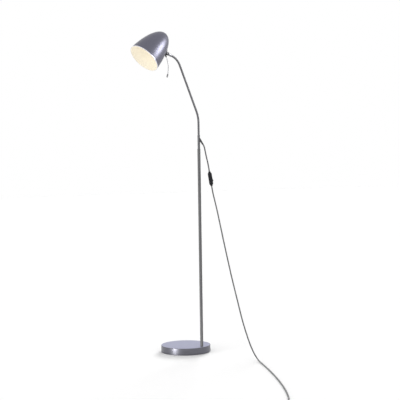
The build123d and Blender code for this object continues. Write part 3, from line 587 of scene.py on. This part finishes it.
def brass_finish():
    """Plain brass, duller where it is touched."""
    material, tree, shader, place = surface("contact_brass", 1.0, 0.3)
    marks = placed_group(tree, HANDLING, place, (1, 1, 1), {"Smudges": 150, "Nicks": 900})
    tone(tree, shader, marks.outputs["Mask"], (0.62, 0.45, 0.20), (0.76, 0.60, 0.32))
    roughness_range(tree, shader, marks.outputs["Mask"], 0.22, 0.4)
    return material


def cap_finish():
    """Aluminium of the bulb's cap."""
    material, tree, shader, place = surface("bulb_cap_aluminium", 1.0, 0.3)
    marks = placed_group(tree, BRUSHING, place, (1, 1, 1), {"Lines": 700, "Clouds": 90})
    tone(tree, shader, marks.outputs["Cloud"], (0.62, 0.62, 0.62), (0.75, 0.75, 0.75))
    roughness_range(tree, shader, marks.outputs["Scratch"], 0.24, 0.4)
    return material


def bulb_finish():
    """Lit opal glass, slightly clouded."""
    material, tree, shader, place = surface("lit_opal_glass", 0.0, 0.25)
    cloud = placed_group(tree, BRUSHING, place, (1, 1, 1), {"Lines": 200, "Clouds": 25})
    tone(tree, shader, cloud.outputs["Cloud"], (0.86, 0.81, 0.72), (0.90, 0.85, 0.77))
    dim, warm = (1.0, 0.86, 0.66), (1.0, 0.89, 0.70)
    tone(tree, shader, cloud.outputs["Cloud"], dim, warm, "Emission Color")
    shader.inputs["Emission Strength"].default_value = 0.3
    return material


def cord_finish():
    """Grey sheath of the flat cord, satin with faint drag lines."""
    material, tree, shader, place = surface("cord_sheath", 0.0, 0.42)
    skin = placed_group(tree, BRUSHING, place, (1, 1, 0.3), {"Lines": 1200, "Clouds": 35})
    tone(tree, shader, skin.outputs["Cloud"], (0.085, 0.085, 0.09), (0.13, 0.13, 0.135))
    roughness_range(tree, shader, skin.outputs["Scratch"], 0.36, 0.5)
    relief(tree, shader, skin.outputs["Scratch"], 0.00001)
    return material


def bush_finish():
    """Grey moulded strain relief where the cord leaves the tube."""
    material, tree, shader, place = surface("outlet_bush_grey", 0.0, 0.5, 0.35)
    skin = placed_group(tree, BRUSHING, place, (1, 1, 1), {"Lines": 1800, "Clouds": 60})
    tone(tree, shader, skin.outputs["Cloud"], (0.045, 0.045, 0.048), (0.075, 0.075, 0.08))
    relief(tree, shader, skin.outputs["Scratch"], 0.00002)
    return material


FINISHES = {
    "brushed_steel": base_top_finish(),
    "pole_steel": pole_finish(),
    "hose_steel": hose_finish(),
    "bright_steel": bright_finish(),
    "zinc_steel": zinc_finish(),
    "cast_iron": iron_finish(),
    "foam": foam_finish(),
    "black_plastic": black_moulding(),
    "handle_wire": wire_finish(),
    "handle_rubber": rubber_finish(),
    "shade_finish": shade_outside(),
    "holder_moulding": holder_finish(),
    "brass": brass_finish(),
    "bulb_cap_metal": cap_finish(),
    "opal_glass": bulb_finish(),
    "cord_sheath": cord_finish(),
}


def dress_cad_nodes():
    """Give CAD nodes the finish of their material slot; the bush and the sleeve have others."""
    for subpart in frame["record"]["subparts"]:
        mesh = frame["nodes"][subpart["node"]].data
        mesh.materials.clear()
        mesh.materials.append(FINISHES[subpart["material_slot"]])
    frame["nodes"]["outlet_bush"].data.materials[0] = bush_finish()
    frame["nodes"]["outlet_sleeve"].data.materials[0] = hose_finish()


# ---------------------------------------------------------------- meshes

def add_piece(name, mesh, *materials):
    """Scene object for a finished mesh, at the origin."""
    for material in materials:
        mesh.materials.append(material)
    piece = bpy.data.objects.new(name, mesh)
    bpy.context.scene.collection.objects.link(piece)
    return piece


def turned_mesh(name, profile, place, sides, wall=False):
    """Mesh turned about a frame's Z, from (radius, height) points; a wall's profile is a loop."""
    points, rings, faces = [], [], []
    for radius, height in profile:
        count = sides if radius > ON_AXIS else 1
        rings.append(range(len(points), len(points) + count))
        for step in range(count):
            angle = 2 * pi * step / sides
            points.append(place @ Vector((radius * cos(angle), radius * sin(angle), height)))
    for ring, following in zip(rings, rings[1:] + (rings[:1] if wall else [])):
        for step in range(sides):
            after = (step + 1) % sides
            low = [ring[step % len(ring)], ring[after % len(ring)]]
            high = [following[after % len(following)], following[step % len(following)]]
            faces.append(list(dict.fromkeys(low + high)))
    mesh = bpy.data.meshes.new(name)
    mesh.from_pydata(points, [], [face for face in faces if len(face) > 2])
    mesh.shade_smooth()
    mesh.set_sharp_from_angle(angle=TURNED_SHARP)
    return mesh


def arc_points(centre, radius, start, end, steps):
    """(radius, height) points of an arc in a profile, its angles from the level outwards."""
    angles = [start + (end - start) * step / steps for step in range(steps + 1)]
    return [(centre[0] + radius * cos(a), centre[1] + radius * sin(a)) for a in angles]


# ---------------------------------------------------------------- base

def make_base_shell():
    """Brushed cover of the base, its top edge rounded over."""
    inner, ceiling = BASE_RADIUS - BASE_WALL, BASE_HEIGHT - BASE_WALL
    edge = (BASE_RADIUS - BASE_EDGE, BASE_HEIGHT - BASE_EDGE)
    profile = [(inner, BASE_LIFT), (BASE_RADIUS, BASE_LIFT)]
    profile += arc_points(edge, BASE_EDGE, 0, pi / 2, BASE_EDGE_STEPS)
    profile += [(BASE_MIDDLE_RING, BASE_HEIGHT), (0, BASE_HEIGHT), (0, ceiling), (inner, ceiling)]
    mesh = turned_mesh("base_shell", profile, Matrix.Identity(4), BASE_SIDES, wall=True)
    shell = add_piece("base_shell", mesh, FINISHES["brushed_steel"], base_side_painted_shade_finish())
    # Faces steeper than BASE_TOP_LEAST_SLOPE take the darker side finish: painted shade on the
    # base's side
    for face in mesh.polygons:
        face.material_index = 1 if face.normal.z < BASE_TOP_LEAST_SLOPE else 0
    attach(shell, "stand")
    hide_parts("base_cover")


# ---------------------------------------------------------------- gooseneck

def neck_place(distance, height):
    """Place in the neck's plane, at a distance from the pole's axis and a height."""
    return Vector((POLE_X - distance, POLE_Y, height))


END_DIRECTION = Vector((-cos(NECK_END_RISE), 0, sin(NECK_END_RISE)))
PIVOT = neck_place(*NECK_CORNERS[-1]) + END_DIRECTION * (NECK_LAST_RUN + FERRULE_START)
HOSE_END = PIVOT - END_DIRECTION * (FERRULE_START - HOSE_IN_FERRULE)


def neck_centreline(step):
    """Points a step apart along the neck: straight runs joined by its two bends."""
    corners = [neck_place(*corner) for corner in NECK_CORNERS] + [HOSE_END]
    points = [corners[0]]
    for before, corner, after, radius in zip(corners, corners[1:], corners[2:], NECK_BENDS):
        arriving = (corner - before).normalized()
        leaving = (after - corner).normalized()
        turn = arriving.angle(leaving)
        cut = radius * tan(turn / 2)
        start = corner - arriving * cut
        inward = (leaving - arriving * leaving.dot(arriving)).normalized()
        count = ceil(radius * turn / step)
        for index in range(count + 1):
            angle = turn * index / count
            sideways = inward * radius * (1 - cos(angle))
            points.append(start + arriving * radius * sin(angle) + sideways)
    points.append(corners[-1])
    return points


def stretch_of(points, start, end):
    """The part of a line of points between two distances along it."""
    kept, passed = [], 0.0
    for one, two in zip(points, points[1:]):
        run = (two - one).length
        for limit in (start, end):
            if passed <= limit < passed + run:
                kept.append(one.lerp(two, (limit - passed) / run))
        if start < passed + run < end:
            kept.append(two.copy())
        passed += run
    if end >= passed:
        kept.append(points[-1].copy())
    return kept


def point_along(points, distance):
    """Place and heading at a distance along a line of points."""
    for one, two in zip(points, points[1:]):
        run = (two - one).length
        if distance <= run:
            return one.lerp(two, distance / run), (two - one).normalized()
        distance -= run
    return points[-1], (points[-1] - points[-2]).normalized()


def wound_hose_tree():
    """Geometry Nodes that wind a hose of close round turns along a curve."""
    tree = bpy.data.node_groups.new("wound_hose", "GeometryNodeTree")
    face = tree.interface
    face.new_socket("Route", in_out="INPUT", socket_type="NodeSocketGeometry")
    for name in ("Hose Radius", "Turn Pitch", "Turn Depth"):
        face.new_socket(name, in_out="INPUT", socket_type="NodeSocketFloat")
    face.new_socket("Finish", in_out="INPUT", socket_type="NodeSocketMaterial")
    face.new_socket("Hose", in_out="OUTPUT", socket_type="NodeSocketGeometry")
    add, link = tree.nodes.new, tree.links.new
    given, result = add("NodeGroupInput"), add("NodeGroupOutput")

    def maths(operation, one, two=None):
        node = add("ShaderNodeMath")
        node.operation = operation
        for socket, value in zip(node.inputs, (one, two)):
            if value is None:
                continue
            if isinstance(value, (int, float)):
                socket.default_value = value
            else:
                link(value, socket)
        return node.outputs[0]

    resample = add("GeometryNodeResampleCurve")
    resample.mode = "LENGTH"
    link(given.outputs["Route"], resample.inputs["Curve"])
    spacing = maths("DIVIDE", given.outputs["Turn Pitch"], HOSE_RINGS_IN_A_TURN)
    link(spacing, resample.inputs["Length"])
    along = add("GeometryNodeSplineParameter").outputs["Length"]
    share = maths("FRACT", maths("DIVIDE", along, given.outputs["Turn Pitch"]))
    offset = maths("SUBTRACT", maths("MULTIPLY", share, 2.0), 1.0)
    crest = maths("SQRT", maths("SUBTRACT", 1.0, maths("MULTIPLY", offset, offset)))
    dip = maths("MULTIPLY", maths("SUBTRACT", 1.0, crest), given.outputs["Turn Depth"])
    radius = maths("SUBTRACT", given.outputs["Hose Radius"], dip)
    circle = add("GeometryNodeCurvePrimitiveCircle")
    circle.inputs["Resolution"].default_value = HOSE_SIDES
    circle.inputs["Radius"].default_value = 1.0
    skin = add("GeometryNodeCurveToMesh")
    skin.inputs["Fill Caps"].default_value = True
    link(resample.outputs["Curve"], skin.inputs["Curve"])
    link(circle.outputs["Curve"], skin.inputs["Profile Curve"])
    link(radius, skin.inputs["Scale"])
    smooth = add("GeometryNodeSetShadeSmooth")
    link(skin.outputs["Mesh"], smooth.inputs["Geometry"])
    whole = add("GeometryNodeRealizeInstances")
    link(smooth.outputs["Geometry"], whole.inputs["Geometry"])
    coat = add("GeometryNodeSetMaterial")
    link(whole.outputs["Geometry"], coat.inputs["Geometry"])
    link(given.outputs["Finish"], coat.inputs["Material"])
    link(coat.outputs["Geometry"], result.inputs["Hose"])
    return tree


def line_curve(name, points):
    """Curve object of one straight-sided spline through points."""
    curve = bpy.data.curves.new(name, "CURVE")
    curve.dimensions = "3D"
    spline = curve.splines.new("POLY")
    spline.points.add(len(points) - 1)
    for knot, place in zip(spline.points, points):
        knot.co = (*place, 1)
    holder = bpy.data.objects.new(name, curve)
    bpy.context.scene.collection.objects.link(holder)
    return holder


def set_inputs(modifier, values):
    """Set a Geometry Nodes modifier's inputs by their names in the tree."""
    for item in modifier.node_group.interface.items_tree:
        if item.in_out == "INPUT" and item.name in values:
            modifier[item.identifier] = values[item.name]


def plain_mesh_piece(name, maker):
    """The evaluated result of an object as a plain mesh piece; the maker goes."""
    bpy.context.view_layer.update()
    graph = bpy.context.evaluated_depsgraph_get()
    mesh = bpy.data.meshes.new_from_object(maker.evaluated_get(graph))
    mesh.name = name
    bpy.data.objects.remove(maker)
    piece = bpy.data.objects.new(name, mesh)
    bpy.context.scene.collection.objects.link(piece)
    return piece


def make_gooseneck():
    """Wound skin of the neck in four lengths, each spanning one of its pivots."""
    tree = wound_hose_tree()
    line = neck_centreline(NECK_STEP)
    length = sum((two - one).length for one, two in zip(line, line[1:]))
    middles = [(a + b) / 2 for a, b in zip(NECK_PIVOTS, NECK_PIVOTS[1:])]
    seams = [round(middle / HOSE_TURN_PITCH) * HOSE_TURN_PITCH for middle in middles]
    stands_for = [("hose_0", "hose_1"), ("hose_2",), ("hose_3",), ("hose_4",)]
    for index, pivot in enumerate(NECK_PIVOTS):
        start = 0.0 if index == 0 else seams[index - 1]
        end = seams[index] if index < len(seams) else length
        maker = line_curve("hose_route", stretch_of(line, start, end))
        modifier = maker.modifiers.new("wound_hose", "NODES")
        modifier.node_group = tree
        set_inputs(modifier, {
            "Hose Radius": HOSE_RADIUS,
            "Turn Pitch": HOSE_TURN_PITCH,
            "Turn Depth": HOSE_TURN_DEPTH,
            "Finish": FINISHES["hose_steel"],
        })
        skin = plain_mesh_piece(f"neck_skin_{index}", maker)
        place, heading = point_along(line, pivot)
        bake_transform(skin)
        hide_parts(*stands_for[index])


# ---------------------------------------------------------------- shade and bulb

def profile_place(radius, height, share):
    """Place on the shade's outline, from its mouth at 0 to its crown at 1."""
    poles = [
        Vector((radius, 0)),
        Vector((radius, SHADE_SIDE_PULL)),
        Vector((SHADE_CROWN_PULL - (SHADE_RADIUS - radius) / 2, height)),
        Vector((0, height)),
    ]
    while len(poles) > 1:
        poles = [one.lerp(two, share) for one, two in zip(poles, poles[1:])]
    return poles[0]


def shade_frame():
    """The shade's own frame: origin in its mouth, X to the neck's side, Z to the crown."""
    up = Vector((cos(SHADE_RISE), 0, sin(SHADE_RISE)))
    back = Vector((sin(SHADE_RISE), 0, -cos(SHADE_RISE)))
    near = profile_place(SHADE_RADIUS, SHADE_LENGTH, SHADE_JOINT_SHARE - SHADE_HEADING_SHARE)
    joint = profile_place(SHADE_RADIUS, SHADE_LENGTH, SHADE_JOINT_SHARE)
    heading = (joint - near).normalized()
    outward = back * heading.y - up * heading.x
    mouth = PIVOT - outward * SHADE_STANDOFF - back * joint.x - up * joint.y
    side = up.cross(back)
    return Matrix.Translation(mouth) @ Matrix((back, side, up)).transposed().to_4x4()


SHADE_PLACE = shade_frame()


def make_shade():
    """Bell with a satin graphite outside, a white enamel inside with a painted glow and a rolled
    pale rim.
    """
    shares = [step / SHADE_STEPS for step in range(SHADE_STEPS + 1)]
    outside = [tuple(profile_place(SHADE_RADIUS, SHADE_LENGTH, share)) for share in shares]
    inside = [
        tuple(profile_place(SHADE_RADIUS - SHADE_WALL, SHADE_LENGTH - SHADE_WALL, share))
        for share in reversed(shares)
    ]
    edge = SHADE_RADIUS + RIM_OUT
    rim = [
        (SHADE_RADIUS - SHADE_WALL, 0),
        (edge - RIM_BEVEL, 0),
        (edge - RIM_CORNER, RIM_CORNER),
        (edge, RIM_BEVEL),
        (edge, RIM_HEIGHT - RIM_BEVEL),
        (edge - RIM_TOP_STEP[0], RIM_HEIGHT - RIM_TOP_STEP[1]),
    ]
    above_rim = [place for place in outside if place[1] > RIM_HEIGHT]
    profile = rim + above_rim + inside[:-1]
    mesh = turned_mesh("shade_bell", profile, SHADE_PLACE, SHADE_SIDES, wall=True)
    bell = add_piece("shade_bell", mesh, FINISHES["shade_finish"], shade_inside_painted_glow(), rim_finish())
    rim_faces = (len(rim) - 1) * SHADE_SIDES
    outside_faces = rim_faces + len(above_rim) * SHADE_SIDES
    for face in mesh.polygons:
        if face.index < rim_faces:
            face.material_index = 2
        elif face.index >= outside_faces:
            face.material_index = 1
    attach(bell, "head")
    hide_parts("shade")


def make_bulb():
    """Lit ball bulb with its screw cap."""
    centre = BULB_TIP + BULB_RADIUS
    ball = arc_points((0, centre), BULB_RADIUS, -pi / 2, BULB_NECK_TURN, BULB_STEPS)
    ball[0] = (0, BULB_TIP)
    profile = ball + [(BULB_NECK_RADIUS, CAP_START), (0, CAP_START)]
    mesh = turned_mesh("bulb_ball", profile, SHADE_PLACE, BULB_SIDES)
    glass = add_piece("bulb_ball", mesh, FINISHES["opal_glass"])
    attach(glass, "head")
    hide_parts("bulb_glass")
    start = CAP_START + CAP_COLLAR
    threads = [(0, CAP_START), (CAP_RADIUS, CAP_START), (CAP_RADIUS, start)]
    for turn in range(int((CAP_END - CAP_FOOT - start) / CAP_THREAD_PITCH)):
        for step in range(CAP_THREAD_STEPS):
            share = (step + 1) / CAP_THREAD_STEPS
            depth = CAP_THREAD_DEPTH * (1 - cos(2 * pi * share)) / 2
            threads.append((CAP_RADIUS - depth, start + (turn + share) * CAP_THREAD_PITCH))
    contact, height = CAP_CONTACT
    threads += [(contact, CAP_END - height), (contact, CAP_END), (0, CAP_END)]
    mesh = turned_mesh("bulb_screw_cap", threads, SHADE_PLACE, CAP_SIDES)
    cap = add_piece("bulb_screw_cap", mesh, FINISHES["bulb_cap_metal"])
    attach(cap, "head")
    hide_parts("bulb_cap")


# ---------------------------------------------------------------- cord

def smooth_route(name, points):
    """Points read along a NURBS line that has the route's points as its control points."""
    curve = bpy.data.curves.new(name, "CURVE")
    curve.dimensions = "3D"
    spline = curve.splines.new("NURBS")
    spline.points.add(len(points) - 1)
    for knot, place in zip(spline.points, points):
        knot.co = (*place, 1)
    spline.order_u = 3
    spline.use_endpoint_u = True
    spline.resolution_u = 12
    holder = bpy.data.objects.new(name, curve)
    bpy.context.scene.collection.objects.link(holder)
    graph = bpy.context.evaluated_depsgraph_get()
    read = bpy.data.meshes.new_from_object(holder.evaluated_get(graph))
    route = [vertex.co.copy() for vertex in read.vertices]
    bpy.data.objects.remove(holder)
    return route


def flat_cord_section():
    """Outline of the flat cord: two round cores side by side, with a faint groove between."""
    core = CORD_THICKNESS / 2
    offset = CORD_WIDTH / 2 - core
    outline = []
    start = -CORD_CORE_SPAN // 2
    for centre, facing in ((offset, 0), (-offset, 180)):
        for turn in range(start, start + CORD_CORE_SPAN + 1, CORD_CORE_STEP):
            angle = radians(facing + turn)
            outline.append((centre + core * cos(angle), core * sin(angle)))
    return outline


def carried_axes(route, fixed, across):
    """Width axis at each point, carried along the route both ways from one fixed point."""
    headings = []
    for index in range(len(route)):
        before, after = max(index - 1, 0), min(index + 1, len(route) - 1)
        headings.append((route[after] - route[before]).normalized())
    axes = [None] * len(route)
    axes[fixed] = (across - headings[fixed] * across.dot(headings[fixed])).normalized()
    for order in (range(fixed + 1, len(route)), range(fixed - 1, -1, -1)):
        held = axes[fixed]
        for index in order:
            held = (held - headings[index] * held.dot(headings[index])).normalized()
            axes[index] = held
    return headings, axes


def cord_mesh(name, route, fixed, across):
    """Flat cord swept along a route, closed at both ends."""
    section = flat_cord_section()
    headings, axes = carried_axes(route, fixed, across)
    points, faces = [], []
    for place, heading, wide in zip(route, headings, axes):
        thin = heading.cross(wide)
        points += [place + wide * x + thin * y for x, y in section]
    count = len(section)
    for ring in range(len(route) - 1):
        for step in range(count):
            after = (step + 1) % count
            low, high = ring * count, (ring + 1) * count
            faces.append((low + step, low + after, high + after, high + step))
    faces.append(tuple(reversed(range(count))))
    faces.append(tuple(range(len(points) - count, len(points))))
    mesh = bpy.data.meshes.new(name)
    mesh.from_pydata(points, [], faces)
    mesh.shade_smooth()
    mesh.set_sharp_from_angle(angle=CORD_SHARP)
    return mesh


def make_cords():
    """The flat cord from the outlet to the switch, and from the switch to the plug."""
    upper_route = smooth_route("cord_upper_route", CORD_UPPER)
    mesh = cord_mesh("cord_to_switch", upper_route, len(upper_route) - 1, CORD_AT_SWITCH)
    upper = add_piece("cord_to_switch", mesh, FINISHES["cord_sheath"])
    lower_route = smooth_route("cord_lower_route", CORD_LOWER)
    resting = next(i for i, place in enumerate(lower_route) if place.z < CORD_REST + CORD_TOUCH)
    heading = lower_route[resting + 1] - lower_route[resting]
    mesh = cord_mesh("cord_to_plug", lower_route, resting, Vector((0, 0, 1)).cross(heading))
    lower = add_piece("cord_to_plug", mesh, FINISHES["cord_sheath"])
    for cord, node in ((upper, "cord_upper"), (lower, "cord_lower")):
        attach(cord, "stand")
        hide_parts(node)


photo_camera()
make_cords()
dress_cad_nodes()
make_base_shell()
make_gooseneck()
make_shade()
make_bulb()
white_world()
window("left_window", LEFT_WINDOW)
window("back_window", BACK_WINDOW)
softbox("head_softbox", HEAD_SOFTBOX)
softbox("base_softbox", BASE_SOFTBOX)
studio_floor()
bpy.context.scene.view_settings.view_transform = "Standard"
